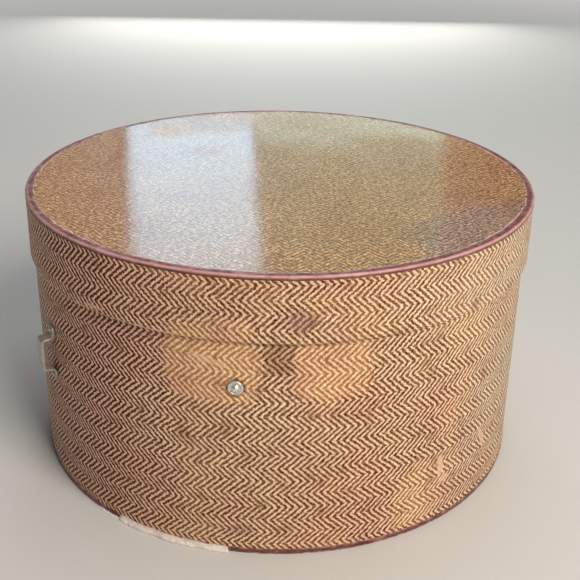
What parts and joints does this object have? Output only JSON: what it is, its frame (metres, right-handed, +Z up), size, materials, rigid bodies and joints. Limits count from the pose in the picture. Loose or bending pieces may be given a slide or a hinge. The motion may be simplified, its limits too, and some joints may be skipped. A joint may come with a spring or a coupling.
{
  "type": "hat box",
  "caption": "Round lidded hat box: paper-covered board drum with a deep lift-off lid, cloth-bound edges, side strap loops and strap studs.",
  "frame": {"origin": "middle of the underside, on the box's axis, where it stands", "axes": "+Z up along the box's axis and the lid's lift; the strap loops are on the -X and +X sides; -Y is the front, and the front strap stud is 39.1 degrees from it towards -X"},
  "size_m": [0.4208, 0.4064, 0.221],
  "materials": {
    "board": "raw pulp board, matt",
    "herringbone_paper": "dark brown herringbone printed on tan paper, lightly varnished and worn",
    "varnished_paper": "dark brown herringbone printed on tan paper, under a glossy varnish",
    "binding_cloth": "oxblood coated bookcloth, satin",
    "base_paper": "brown kraft paper, matt",
    "lining_paper": "aged cream paper, matt",
    "nickelled_steel": "worn nickel plate",
    "tinned_steel": "dull tinned strip"
  },
  "bodies": {
    "body": {"body_hoop": "board", "base_disc": "board", "body_covering": "herringbone_paper", "base_binding": "binding_cloth", "base_paper": "base_paper", "body_lining": "lining_paper", "base_lining": "lining_paper", "front_stud_flange": "nickelled_steel", "front_stud_post": "nickelled_steel", "front_stud_washer": "nickelled_steel", "rear_stud_flange": "nickelled_steel", "rear_stud_post": "nickelled_steel", "rear_stud_washer": "nickelled_steel", "left_loop": "tinned_steel", "left_loop_upper_rivet": "tinned_steel", "left_loop_lower_rivet": "tinned_steel", "left_loop_backing_plate": "tinned_steel", "right_loop": "tinned_steel", "right_loop_upper_rivet": "tinned_steel", "right_loop_lower_rivet": "tinned_steel", "right_loop_backing_plate": "tinned_steel"},
    "lid": {"lid_hoop": "board", "lid_disc": "board", "lid_skirt_covering": "herringbone_paper", "lid_top_covering": "varnished_paper", "lid_binding": "binding_cloth", "lid_lining": "lining_paper", "lid_skirt_lining": "lining_paper"}
  },
  "joints": [
    {"name": "lid_lift", "type": "slide", "parent": "body", "child": "lid", "axis": [0, 0, 1], "range_m": [0, 0.3]}
  ]
}
